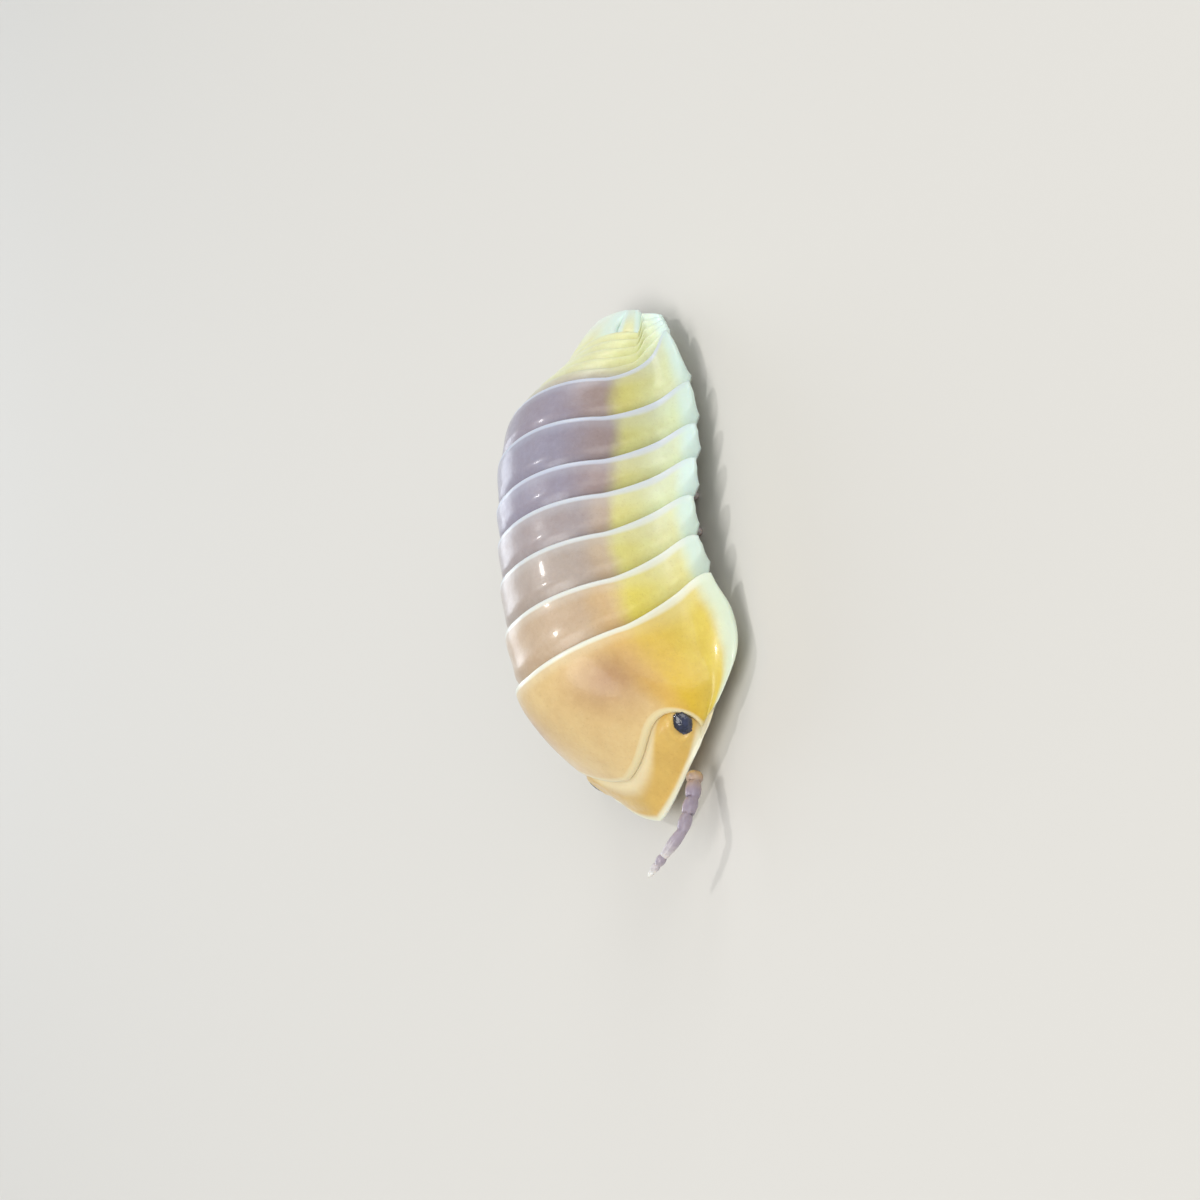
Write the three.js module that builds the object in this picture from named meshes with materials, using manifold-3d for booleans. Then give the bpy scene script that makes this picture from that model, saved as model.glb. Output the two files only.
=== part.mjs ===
// A ball-rolling woodlouse at life size, standing on its fourteen feet.
// Millimetres, +Z up. The head points to -Y, the tail to +Y, and the animal's left side is +X.
// The origin is on the floor under the middle of the body.
import * as THREE from 'three';
import { mergeVertices } from 'three/addons/utils/BufferGeometryUtils.js';
import Module from 'manifold-3d';

const wasm = await Module();
wasm.setup();

// Driving sizes of the body
const PLATE = 0.5;          // thickness of a back plate
const PLATE_EDGE = 0.36;    // thickness of a plate at its lower edge
const GAP = 0.2;            // gap between neighbouring nodes
const SCARF = 0.3;          // how far a plate's outer face overhangs its inner face at the hind edge
const STEP = 0.16;          // how far a hind edge stands above the plate behind it
const FLARE = 0.22;         // how far the hind corner of a plate turns out
const BOW_POWER = 1.15;     // how roundly a bowed cross-section curves
const HINGE = 0.8;          // height of the line about which the cross-sections lean
const BELLY = 2.0;          // height of the underside between the legs
const HIP = 0.3;            // radius of a leg where it meets the underside
const FOOT = 0.11;          // radius of the flat under each foot

// Cross-sections at the front of the head, the front of plate 1, the hind edges of plates 1 to 7,
// the middle of the pleon and the tip of the tail: place along the body, lean towards the tail in
// degrees, half width, height, height of the lower edge, and how far its sides lie behind its middle.
const SECTIONS = [
  { y: -7.5, lean: -79, half: 3.25, height: 1.17, low: 0.35, bow: 1.45 },
  { y: -5.15, lean: -45, half: 4.6, height: 2.7, low: 0.35, bow: 0.5 },
  { y: -3.25, lean: -20, half: 4.5, height: 4.65, low: 0.35, bow: 0.1 },
  { y: -2, lean: -10, half: 4.3, height: 5, low: 0.65, bow: 0 },
  { y: -0.8, lean: -5, half: 4.15, height: 5.1, low: 0.9, bow: 0 },
  { y: 0.4, lean: -2, half: 4.1, height: 5.1, low: 0.95, bow: 0 },
  { y: 1.55, lean: 3, half: 4.2, height: 5.05, low: 0.8, bow: 0 },
  { y: 3, lean: 8, half: 4.3, height: 4.95, low: 0.65, bow: 0 },
  { y: 4.7, lean: 11, half: 4.15, height: 4.4, low: 0.6, bow: 0 },
  { y: 6.8, lean: 16, half: 3.5, height: 2.65, low: 0.7, bow: -0.1 },
  { y: 8.95, lean: 20, half: 2.75, height: 1.35, low: 0.75, bow: -0.8 },
];
const TAIL = SECTIONS.length - 1;

// The back's outline across the body: the slope in degrees grows to STEEPEST, then the skirt flares
const STEEPEST = 76;
const STEEPEST_AT = 0.7;
const SKIRT_SLOPE = 50;
const OUTLINE_STEPS = 200;

const clamp = THREE.MathUtils.clamp;
const rad = THREE.MathUtils.degToRad;
const smooth = (x, from, to) => THREE.MathUtils.smoothstep(x, from, to);
const v3 = (x, y, z) => new THREE.Vector3(x, y, z);

function outlineTable() {
  const slope = (t) => {
    if (t < STEEPEST_AT) return STEEPEST * Math.sin((Math.PI / 2) * (t / STEEPEST_AT));
    const past = (t - STEEPEST_AT) / (1 - STEEPEST_AT);
    return STEEPEST + (SKIRT_SLOPE - STEEPEST) * (0.5 - 0.5 * Math.cos(Math.PI * past));
  };
  const across = [0];
  const down = [0];
  for (let i = 1; i <= OUTLINE_STEPS; i++) {
    const angle = rad(slope((i - 0.5) / OUTLINE_STEPS));
    across.push(across[i - 1] + Math.cos(angle));
    down.push(down[i - 1] + Math.sin(angle));
  }
  const wide = across[OUTLINE_STEPS];
  const deep = down[OUTLINE_STEPS];
  return { across: across.map((x) => x / wide), up: down.map((d) => 1 - d / deep) };
}
const OUTLINE = outlineTable();

function fromTable(table, t) {
  const place = clamp(t, 0, 1) * OUTLINE_STEPS;
  const i = Math.min(Math.floor(place), OUTLINE_STEPS - 1);
  return table[i] + (table[i + 1] - table[i]) * (place - i);
}

// A cross-section at any place s along the body, by a smooth curve through the listed ones
function section(s) {
  const at = clamp(s, 0, TAIL - 1e-6);
  const i = Math.floor(at);
  const f = at - i;
  const pick = (key) => {
    const b = SECTIONS[i][key];
    const c = SECTIONS[i + 1][key];
    const a = i > 0 ? SECTIONS[i - 1][key] : 2 * b - c;
    const d = i + 2 <= TAIL ? SECTIONS[i + 2][key] : 2 * c - b;
    return 0.5 * (2 * b + (c - a) * f + (2 * a - 5 * b + 4 * c - d) * f * f
      + (3 * b - a - 3 * c + d) * f * f * f);
  };
  return Object.fromEntries(Object.keys(SECTIONS[0]).map((key) => [key, pick(key)]));
}

// A point of the back at s along the body and t across it, from -1 at the right edge to 1 at the
// left edge, raised by out millimetres along the section's own normal
function onBack(s, t, out = 0) {
  const c = section(s);
  const side = Math.sign(t) || 1;
  const flat = (u) => {
    const a = Math.min(Math.abs(u), 1);
    return [c.half * fromTable(OUTLINE.across, a), c.low + (c.height - c.low) * fromTable(OUTLINE.up, a)];
  };
  const a = Math.abs(t);
  const [x0, z0] = flat(Math.max(a - 0.01, 0));
  const [x1, z1] = flat(Math.min(a + 0.01, 1));
  const [x, z] = flat(a);
  const long = Math.hypot(x1 - x0, z1 - z0);
  const nx = a < 1e-9 ? 0 : (z0 - z1) / long;
  const nz = a < 1e-9 ? 1 : (x1 - x0) / long;
  const up = z + nz * out - HINGE;
  const lean = rad(c.lean);
  const y = c.y + c.bow * (x / c.half) ** BOW_POWER;
  return v3(side * (x + nx * out), y + Math.sin(lean) * up, HINGE + Math.cos(lean) * up);
}

// The place along the body that lies mm further back, measured on the back at t
function further(s, t, mm) {
  const spacing = onBack(s + 0.05, t).distanceTo(onBack(s - 0.05, t)) / 0.1;
  return s + mm / spacing;
}

// Turns positions and triangles into a closed geometry with its faces pointing out
function solid(points, triangles) {
  let volume = 0;
  for (const [a, b, c] of triangles) {
    volume += points[a].dot(points[b].clone().cross(points[c]));
  }
  const index = [];
  for (const [a, b, c] of triangles) index.push(a, ...(volume > 0 ? [b, c] : [c, b]));
  const geometry = new THREE.BufferGeometry();
  geometry.setAttribute('position', new THREE.Float32BufferAttribute(points.flatMap((p) => p.toArray()), 3));
  geometry.setIndex(index);
  return geometry;
}

// A curved slab: outer and inner give its two faces over a grid, cut into triangles alike
function slab(rows, columns, outer, inner) {
  const points = [];
  const triangles = [];
  const at = (face, i, j) => (face * (rows + 1) + i) * (columns + 1) + j;
  for (const face of [outer, inner]) {
    for (let i = 0; i <= rows; i++) {
      for (let j = 0; j <= columns; j++) points.push(face(i / rows, j / columns));
    }
  }
  const quad = (a, b, c, d) => triangles.push([a, b, c], [a, c, d]);
  for (let i = 0; i < rows; i++) {
    for (let j = 0; j < columns; j++) {
      const left = j < columns / 2;
      const corners = (f) => [at(f, i, j), at(f, i, j + 1), at(f, i + 1, j + 1), at(f, i + 1, j)];
      const [a, b, c, d] = corners(0);
      const [e, f, g, h] = corners(1);
      if (left) {
        quad(a, b, c, d);
        triangles.push([e, g, f], [e, h, g]);
      } else {
        quad(b, c, d, a);
        triangles.push([f, h, g], [f, e, h]);
      }
    }
  }
  for (let j = 0; j < columns; j++) {
    quad(at(0, 0, j + 1), at(0, 0, j), at(1, 0, j), at(1, 0, j + 1));
    quad(at(0, rows, j), at(0, rows, j + 1), at(1, rows, j + 1), at(1, rows, j));
  }
  for (let i = 0; i < rows; i++) {
    quad(at(0, i, 0), at(0, i + 1, 0), at(1, i + 1, 0), at(1, i, 0));
    quad(at(0, i + 1, columns), at(0, i, columns), at(1, i, columns), at(1, i + 1, columns));
  }
  return solid(points, triangles);
}

// A tube through rings of {at, along, wide, deep}; side is the direction of each ring's width
function tube(rings, sides, side) {
  const points = [];
  const triangles = [];
  for (const ring of rings) {
    const along = ring.along.clone().normalize();
    const u = side.clone().addScaledVector(along, -side.dot(along)).normalize();
    const w = along.clone().cross(u);
    for (let k = 0; k < sides; k++) {
      const angle = (2 * Math.PI * k) / sides;
      points.push(ring.at.clone().addScaledVector(u, ring.wide * Math.cos(angle))
        .addScaledVector(w, ring.deep * Math.sin(angle)));
    }
  }
  for (let r = 0; r + 1 < rings.length; r++) {
    for (let k = 0; k < sides; k++) {
      const a = r * sides + k;
      const b = r * sides + ((k + 1) % sides);
      triangles.push([a, b, b + sides], [a, b + sides, a + sides]);
    }
  }
  const last = (rings.length - 1) * sides;
  for (let k = 1; k + 1 < sides; k++) {
    triangles.push([0, k + 1, k], [last, last + k, last + k + 1]);
  }
  return solid(points, triangles);
}

function toManifold(geometry) {
  const bare = geometry.clone();
  bare.deleteAttribute('normal');
  bare.deleteAttribute('uv');
  const merged = mergeVertices(bare, 1e-5);
  return new wasm.Manifold(new wasm.Mesh({
    numProp: 3,
    vertProperties: new Float32Array(merged.attributes.position.array),
    triVerts: new Uint32Array(merged.index.array),
  }));
}

// The largest closed surface of a manifold, as a geometry
function fromManifold(body) {
  const pieces = body.decompose().sort((a, b) => b.volume() - a.volume());
  const mesh = pieces[0].getMesh();
  const geometry = new THREE.BufferGeometry();
  geometry.setAttribute('position', new THREE.Float32BufferAttribute(mesh.vertProperties, 3));
  geometry.setIndex([...mesh.triVerts]);
  return geometry;
}

const joined = (geometries) => fromManifold(geometries.map(toManifold).reduce((a, b) => a.add(b)));
const cutBy = (geometry, tools) => fromManifold(tools.map(toManifold).reduce((a, b) => a.subtract(b), toManifold(geometry)));

// Colours, as the animal's own
const finish = (color, roughness = 0.35) => new THREE.MeshStandardMaterial({ color, roughness, metalness: 0 });
const LILAC = finish('#a79fae');
const PEACH = finish('#d8b48c');
const YELLOW = finish('#e6cf6a');
const LEMON = finish('#e8e6a6');
const GREY = finish('#a9a2b0');
const CREAM = finish('#e4ddc8', 0.5);
const BLACK = finish('#1a1d28', 0.2);

const louse = new THREE.Group();
function add(name, geometry, material) {
  const mesh = new THREE.Mesh(geometry, material);
  mesh.name = name;
  louse.add(mesh);
  return mesh;
}

// Edges of the plates across the back, as functions of a = |t|
const HINDS = [2.38, 3.45, 4.55, 5.5, 6.25, 7.12, 7.95];   // hind edge of each plate at its middle, in sections
const BOW = 0.15;               // general sweep of a hind edge, in sections
const SWEEP = 0.88;             // further sweep of the skirt, in sections
const LAST_SWEEP = 1.2;         // the same for plate 7
const hindEdge = (n) => (a) => HINDS[n - 1] + BOW * a
  + (n === 7 ? LAST_SWEEP : SWEEP) * Math.max(0, (a - 0.5) / 0.5) ** 1.5;
const NOTCH = 0.25;              // depth of the notch in plate 1 that takes the side of the head
const NOTCH_AT = 0.34;
const LOBE = 0.6;               // how far the front corner of plate 1 reaches forward beside the head
const headEdge = (a) => 0.96 + NOTCH * Math.exp(-(((a - NOTCH_AT) / 0.2) ** 2))
  - LOBE * smooth(a, 0.38, 0.78);

// How much a lobe's corner is rounded off, in millimetres, as the lower edge comes near
function corner(a, size, reach = 0.16) {
  const past = Math.max(0, (a - (1 - reach)) / reach);
  return size * (1 - Math.sqrt(Math.max(0, 1 - past * past)));
}

// Places across the back for a grid: closer together towards the two lower edges
const spread = (j) => {
  const t = 2 * j - 1;
  return Math.sign(t) * Math.pow(Math.abs(t), 0.85);
};
const thick = (a) => PLATE + (PLATE_EDGE - PLATE) * smooth(a, 0.75, 1);

// One back plate between its front and hind edges; rows run from front to hind
function plate({ front, hind, rows = 3, columns = 24, cornerFront = 0.25, cornerHind = 0.35, grow = 0,
  rise = () => 0 }) {
  const edges = (a, shift) => {
    const f = front(a);
    const h = hind(a);
    return [
      further(f, a, shift - grow + corner(a, cornerFront)),
      further(h, a, shift + grow - corner(a, cornerHind)),
    ];
  };
  const outer = (i, j) => {
    const t = spread(j);
    const [f, h] = edges(Math.abs(t), 0);
    return onBack(f + (h - f) * i, t, rise(i, t) + grow);
  };
  const inner = (i, j) => {
    const t = spread(j);
    const a = Math.abs(t);
    const [f, h] = edges(a, -SCARF);
    return onBack(f + (h - f) * i, t, -thick(a) - grow);
  };
  return slab(rows, columns, outer, inner);
}

// The seven plates of the pereon
const PLATE_MATERIALS = [YELLOW, PEACH, PEACH, LILAC, LILAC, LILAC, LILAC];
const SLOT = GAP / Math.cos(Math.atan(SCARF / PLATE));   // gap measured along the body
function tergite(n, grow = 0) {
  return plate({
    front: n === 1 ? headEdge : (a) => further(hindEdge(n - 1)(a), a, SLOT),
    hind: hindEdge(n),
    rows: n === 1 ? 6 : 3,
    cornerFront: n === 1 ? 0.2 : 0.3,
    rise: (i, t) => STEP * (i - 0.5) + FLARE * (n === 1 ? 1 : i) * smooth(Math.abs(t), 0.78, 1),
    grow,
  });
}
for (let n = 1; n <= 7; n++) add(`tergite_${n}`, tergite(n), PLATE_MATERIALS[n - 1]);

// The pleon's five plates are one node with stepped rings; its last side plates reach back beside the tail
const PLEON_END = 9.2;
const PLEON_SIDE = 0.72;
const pleonHind = (a) => PLEON_END + (TAIL - 0.12 - PLEON_END) * smooth(a, PLEON_SIDE - 0.06, PLEON_SIDE + 0.04);
const PLEON_RINGS = 5;
const ringStep = (i) => STEP * ((i * PLEON_RINGS) % 1 - 0.5) * (i < 1 ? 1 : 0) + (i === 1 ? STEP / 2 : 0);
add('pleon', plate({
  front: (a) => further(hindEdge(7)(a), a, SLOT),
  hind: pleonHind,
  rows: 15,
  columns: 18,
  cornerHind: 0.3,
  rise: ringStep,
}), LEMON);

// The telson and the two uropods close the tail between the last side plates
const TELSON_HALF = 0.4;
const TELSON_WAIST = 0.2;
const UROPOD_FROM = 0.46;
const UROPOD_TO = 0.64;
function tailPiece(from, to, waist, rows, columns) {
  const face = (out, shift) => (i, j) => {
    const pinch = 1 - waist * Math.sin(Math.PI * i);
    const t = (from + (to - from) * j) * pinch;
    const start = further(PLEON_END, Math.abs(t), SLOT + shift);
    return onBack(start + (TAIL - 0.02 - start) * i, t, out);
  };
  return slab(rows, columns, face(0, 0), face(-PLATE, -SCARF));
}
add('telson', tailPiece(-TELSON_HALF, TELSON_HALF, TELSON_WAIST, 5, 10), LEMON);
for (const [side, word] of [[1, 'left'], [-1, 'right']]) {
  add(`uropod_${word}`, tailPiece(side * UROPOD_FROM, side * UROPOD_TO, 0, 4, 3), LEMON);
}

// The head: a cap that fills the notch of plate 1, with a thick face below it
const FACE = 1.5;               // how much deeper the head is at its back than at its front rim
const RIM = 0.4;                // thickness of the front rim
const BRIM = 0.29;              // how far the rim turns out at its sides
function headForm(grow) {
  const back = (a) => further(headEdge(a), a, grow - SLOT);
  const front = (a) => further(0, a, -grow + corner(a, 0.25));
  const outer = (i, j) => {
    const t = spread(j);
    const a = Math.abs(t);
    return onBack(front(a) + (back(a) - front(a)) * i, t, grow + BRIM * smooth(a, 0.4, 0.95) * (1 - i));
  };
  const inner = (i, j) => {
    const t = spread(j);
    const a = Math.abs(t);
    const deep = RIM + FACE * Math.sin((Math.PI / 2) * i) * (1 - a * a);
    return onBack(front(a) + (back(a) - front(a)) * i, t, -deep - grow);
  };
  return slab(5, 20, outer, inner);
}

const ellipsoid = (rx, ry, rz, long, high) => new THREE.SphereGeometry(1, long, high).scale(rx, ry, rz);

// The eyes sit in shallow sockets above the side of the head
const EYE = { s: 0.83, t: 0.44, across: 0.27, along: 0.35, out: 0.17, socket: 0.08 };
function eyeball(side, grow) {
  const at = onBack(EYE.s, side * EYE.t);
  const out = onBack(EYE.s, side * EYE.t, 1).sub(at).normalize();
  const along = onBack(EYE.s + 0.1, side * EYE.t).sub(at);
  along.addScaledVector(out, -along.dot(out)).normalize();
  const across = along.clone().cross(out);
  const turn = new THREE.Matrix4().makeBasis(across, along, out).setPosition(at);
  return ellipsoid(EYE.across + grow, EYE.along + grow, EYE.out + grow, 12, 8).applyMatrix4(turn);
}
const sockets = [eyeball(1, EYE.socket), eyeball(-1, EYE.socket)];
add('head', cutBy(headForm(0), [tergite(1, GAP), ...sockets]), PEACH);
add('eye_left', eyeball(1, 0), BLACK);
add('eye_right', eyeball(-1, 0), BLACK);

// The mouthparts hang as one rounded block below the face
const MOUTH = { wide: 1.0, long: 0.8, high: 0.6, y: -6.25, z: 1.0 };
const mouth = ellipsoid(MOUTH.wide, MOUTH.long, MOUTH.high, 14, 8).translate(0, MOUTH.y, MOUTH.z);
add('mouthparts', cutBy(mouth, [headForm(GAP)]), CREAM);

// The underside of the trunk: follows the plates inside and is ribbed across below
const TRUNK = { from: 1.42, to: 8.1, t: 0.62, rib: 0.1, taper: 0.9 };
const frame = (s, x, z) => {
  const c = section(s);
  const lean = rad(c.lean);
  return v3(x, c.y + Math.sin(lean) * (z - HINGE), HINGE + Math.cos(lean) * (z - HINGE));
};
const trunk = slab(20, 8,
  (i, j) => onBack(TRUNK.from + (TRUNK.to - TRUNK.from) * i, TRUNK.t * (2 * j - 1), -PLATE - GAP),
  (i, j) => {
    const s = TRUNK.from + (TRUNK.to - TRUNK.from) * i;
    const edge = onBack(s, TRUNK.t * (2 * j - 1), -PLATE - GAP);
    return frame(s, edge.x * TRUNK.taper, BELLY + TRUNK.rib * Math.cos(2 * Math.PI * s));
  });
add('belly', trunk, CREAM);
const GILLS = { from: 8.4, to: 9.2, t: 0.55, z: 1.05 };
add('pleopods', slab(6, 6,
  (i, j) => onBack(GILLS.from + (GILLS.to - GILLS.from) * i, GILLS.t * (2 * j - 1), -PLATE - GAP),
  (i, j) => {
    const s = GILLS.from + (GILLS.to - GILLS.from) * i;
    const edge = onBack(s, GILLS.t * (2 * j - 1), -PLATE - GAP);
    return frame(s, edge.x * 0.9, GILLS.z - 0.12 * i + 0.05 * Math.cos(8 * Math.PI * i));
  }), CREAM);

// One article of a limb: a little barrel with rounded ends, or with a flat end where it stands
function article(from, to, thin, wide, sides, side) {
  const along = to.clone().sub(from).normalize();
  const stands = to.z === 0;
  const ring = (f, radius, past = 0) => ({
    at: from.clone().lerp(to, f).addScaledVector(along, past),
    along: stands && f === 1 ? v3(0, 0, -1) : along,
    wide: radius,
    deep: radius,
  });
  const rings = [ring(0, thin * 0.5, -thin * 0.7), ring(0, thin, -thin * 0.2), ring(0.5, (thin + wide) * 0.58), ring(1, wide)];
  if (!stands) rings.push(ring(1, wide * 0.55, wide * 0.6));
  return tube(rings, sides, side);
}

// A limb: articles through points, each with a radius, joined into one solid
function limb(points, radii, sides, side = v3(0, 1, 0.2)) {
  const pieces = [];
  for (let i = 0; i + 1 < points.length; i++) {
    pieces.push(article(points[i], points[i + 1], radii[i], radii[i + 1], sides, side));
  }
  return pieces.length > 1 ? joined(pieces) : pieces[0];
}

// Seven pairs of walking legs: from the underside inwards and down, then out to the feet
const HIP_X = 2.15;
const LEG_AT = [2.0, 2.9, 3.95, 4.95, 5.8, 6.6, 7.45];   // places of the hips along the body
const LEG_RADII = [HIP, 0.27, 0.25, 0.22, FOOT];
for (const [side, word] of [[1, 'left'], [-1, 'right']]) {
  for (let n = 1; n <= 7; n++) {
    const s = LEG_AT[n - 1];
    const narrow = Math.min(section(s).half / 4.2, 1);
    const hip = frame(s, side * HIP_X * narrow, BELLY - TRUNK.rib - GAP);
    const splay = (n - 4) * 0.16 + 0.1;
    const foot = v3(side * 2.8 * narrow, hip.y + splay, 0);
    const knee = v3(side * 1.75 * narrow, hip.y + splay * 0.2, 1.15);
    const shin = v3(side * 2.5 * narrow, hip.y + splay * 0.6, 0.85);
    const ankle = v3(side * 2.75 * narrow, hip.y + splay * 0.9, 0.5);
    add(`leg_${word}_${n}`, limb([hip, knee, shin, ankle, foot], LEG_RADII, 8), GREY);
  }
}

// The antennae: five articles and a short lash. The left reaches forward and bends inwards,
// the right is folded back under the head.
const ANTENNA = {
  left: [v3(1.98, -7.1, 0.72), v3(2.06, -7.9, 0.95), v3(2.05, -8.9, 1.4), v3(1.4, -9.45, 1.7), v3(0.7, -9.85, 1.85)],
  right: [v3(-1.75, -6.75, 0.62), v3(-2.35, -6.4, 0.38), v3(-2.95, -5.8, 0.34), v3(-3.25, -5.1, 0.34), v3(-3.3, -4.6, 0.34)],
};
const ANTENNA_RADII = [0.26, 0.25, 0.22, 0.19, 0.07];
for (const [word, points] of Object.entries(ANTENNA)) {
  const cutAt = points[3].clone().lerp(points[2], 0.1);
  const tipFrom = points[3].clone().lerp(points[4], 0.12);
  add(`antenna_${word}`, limb([...points.slice(0, 3), cutAt], ANTENNA_RADII.slice(0, 4), 8), GREY);
  add(`antenna_tip_${word}`, limb([tipFrom, points[3].clone().lerp(points[4], 0.6), points[4]],
    [0.17, 0.13, 0.06], 8), GREY);
}

// The origin goes to the floor under the middle of the body
const box = new THREE.Box3().setFromObject(louse);
const middle = box.getCenter(new THREE.Vector3());
for (const node of louse.children) node.geometry.translate(-middle.x, -middle.y, -box.min.z);

export default louse;
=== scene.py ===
import bmesh
import bpy, math
from mathutils import Matrix, Vector


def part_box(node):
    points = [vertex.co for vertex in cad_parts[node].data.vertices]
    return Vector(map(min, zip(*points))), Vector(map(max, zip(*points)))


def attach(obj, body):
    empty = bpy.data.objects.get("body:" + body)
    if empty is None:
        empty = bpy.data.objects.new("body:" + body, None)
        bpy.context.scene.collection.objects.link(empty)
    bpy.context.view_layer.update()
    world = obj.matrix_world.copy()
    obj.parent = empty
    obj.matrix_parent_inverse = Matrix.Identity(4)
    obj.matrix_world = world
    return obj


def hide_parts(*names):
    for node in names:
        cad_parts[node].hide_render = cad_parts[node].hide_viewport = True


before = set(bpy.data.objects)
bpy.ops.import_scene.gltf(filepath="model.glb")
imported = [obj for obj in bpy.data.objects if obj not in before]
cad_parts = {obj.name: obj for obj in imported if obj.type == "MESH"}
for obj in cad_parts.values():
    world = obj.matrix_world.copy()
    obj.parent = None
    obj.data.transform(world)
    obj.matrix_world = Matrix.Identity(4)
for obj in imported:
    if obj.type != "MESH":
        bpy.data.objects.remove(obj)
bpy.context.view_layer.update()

MM = 0.001              # the shapes below are worked out in millimetres


# The body's surface

# The named sizes are those of the solids, except that NOTCH and FLARE are larger here, HEAD_HIND and the
# height of the eye are smaller, and the rim of the head is fuller at its sides. Most numbers of the first
# two cross-sections, and BRIM, are rounded results of a least-squares fit to points on the photo's outline.
SECTIONS = [            # place along the body, lean in degrees, half width, height, lower edge, bow
    (-7.5, -79, 3.25, 1.17, 0.35, 1.45),
    (-5.15, -45, 4.6, 2.7, 0.35, 0.5),
    (-3.25, -20, 4.5, 4.65, 0.35, 0.1),
    (-2, -10, 4.3, 5, 0.65, 0),
    (-0.8, -5, 4.15, 5.1, 0.9, 0),
    (0.4, -2, 4.1, 5.1, 0.95, 0),
    (1.55, 3, 4.2, 5.05, 0.8, 0),
    (3, 8, 4.3, 4.95, 0.65, 0),
    (4.7, 11, 4.15, 4.4, 0.6, 0),
    (6.8, 16, 3.5, 2.65, 0.7, -0.1),
    (8.95, 20, 2.75, 1.35, 0.75, -0.8),
]
TAIL = len(SECTIONS) - 1
HINGE = 0.8             # height of the line about which the cross-sections lean
BOW_POWER = 1.15        # how roundly a bowed cross-section curves
STEEPEST = 76           # steepest slope of the back, in degrees
STEEPEST_AT = 0.7       # where it is, from the middle of the back to its lower edge
SKIRT_SLOPE = 50        # slope at the lower edge, in degrees
OUTLINE_STEPS = 200
PLATE = 0.5             # thickness of a back plate of the solids
GAP = 0.2               # gap between neighbouring pieces
BELLY = 2.0             # height of the underside between the legs

# Edges along the body are counted in cross-sections, from 0 at the front of the head to TAIL
HINDS = (2.38, 3.45, 4.55, 5.5, 6.25, 7.12, 7.95)
BOW = 0.15              # general sweep of a hind edge
SWEEP = 0.88            # further sweep of the skirt
LAST_SWEEP = 1.2        # the same for plate 7
HEAD_HIND = 0.86        # hind edge of the head at its middle
NOTCH = 0.35            # depth of the notch in plate 1 that takes the side of the head
NOTCH_AT, NOTCH_WIDE = 0.34, 0.2
LOBE = 0.6              # how far the front corner of plate 1 reaches forward beside the head
LOBE_FROM, LOBE_TO = 0.38, 0.78
PLEON_FRONT = 7.9       # front of the pleon's colours
PLEON_END = 9.2         # hind edge of the pleon at its middle
PLEON_SIDE = 0.72       # how far out across the back the pleon's hind corners begin
PLEON_SHORT = 0.12      # how far those corners end before the tip of the tail

# The eye: its middle along and across the back, its half sizes, and how far it is sunk in the head
EYE = {"s": 0.83, "t": 0.44, "across": 0.27, "along": 0.35, "out": 0.14}
EYE_SINK = 0.05


def clamp(x, low=0.0, high=1.0):
    return min(max(x, low), high)


def smooth(x, low, high):
    f = clamp((x - low) / (high - low))
    return f * f * (3 - 2 * f)


def mix(a, b, f):
    return a + (b - a) * f


def outline_table():
    across, down = [0.0], [0.0]
    for i in range(OUTLINE_STEPS):
        t = (i + 0.5) / OUTLINE_STEPS
        slope = STEEPEST * math.sin(math.pi / 2 * t / STEEPEST_AT)
        if t > STEEPEST_AT:
            past = (t - STEEPEST_AT) / (1 - STEEPEST_AT)
            slope = mix(STEEPEST, SKIRT_SLOPE, 0.5 - 0.5 * math.cos(math.pi * past))
        across.append(across[-1] + math.cos(math.radians(slope)))
        down.append(down[-1] + math.sin(math.radians(slope)))
    return [x / across[-1] for x in across], [1 - d / down[-1] for d in down]


ACROSS, UP = outline_table()


def from_table(table, t):
    place = clamp(t) * OUTLINE_STEPS
    i = min(int(place), OUTLINE_STEPS - 1)
    return mix(table[i], table[i + 1], place - i)


def section(s):
    """The cross-section at s along the body, on a smooth curve through the listed ones."""
    at = clamp(s, 0, TAIL - 1e-6)
    i = int(at)
    f = at - i
    row = []
    for k in range(6):
        b, c = SECTIONS[i][k], SECTIONS[i + 1][k]
        a = SECTIONS[i - 1][k] if i > 0 else 2 * b - c
        d = SECTIONS[i + 2][k] if i + 2 <= TAIL else 2 * c - b
        row.append(0.5 * (2 * b + (c - a) * f + (2 * a - 5 * b + 4 * c - d) * f * f
                          + (3 * b - a - 3 * c + d) * f * f * f))
    return row


def on_back(s, t, out=0.0):
    """The back's point at s along and t across it, raised by out millimetres."""
    y, lean, half, height, low, bow = section(s)
    a = abs(t)

    def flat(u):
        u = min(u, 1)
        return half * from_table(ACROSS, u), low + (height - low) * from_table(UP, u)

    x0, z0 = flat(max(a - 0.01, 0))
    x1, z1 = flat(a + 0.01)
    x, z = flat(a)
    long = math.hypot(x1 - x0, z1 - z0)
    nx, nz = ((z0 - z1) / long, (x1 - x0) / long) if a > 1e-9 else (0, 1)
    up = z + nz * out - HINGE
    lean = math.radians(lean)
    y += bow * (x / half) ** BOW_POWER
    return Vector((math.copysign(x + nx * out, t), y + math.sin(lean) * up, HINGE + math.cos(lean) * up))


def leaning(s, x, z):
    """A point of the leaning cross-section at s."""
    y, lean = section(s)[:2]
    lean = math.radians(lean)
    return Vector((x, y + math.sin(lean) * (z - HINGE), HINGE + math.cos(lean) * (z - HINGE)))


def spacing(s, t):
    return (on_back(s + 0.05, t) - on_back(s - 0.05, t)).length / 0.1


def further(s, t, mm):
    return s + mm / spacing(s, t)


SHIFT = (Vector(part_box("eye_left")[0]) + Vector(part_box("eye_left")[1])) / 2 / MM - on_back(EYE["s"], EYE["t"])


# Meshes

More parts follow.
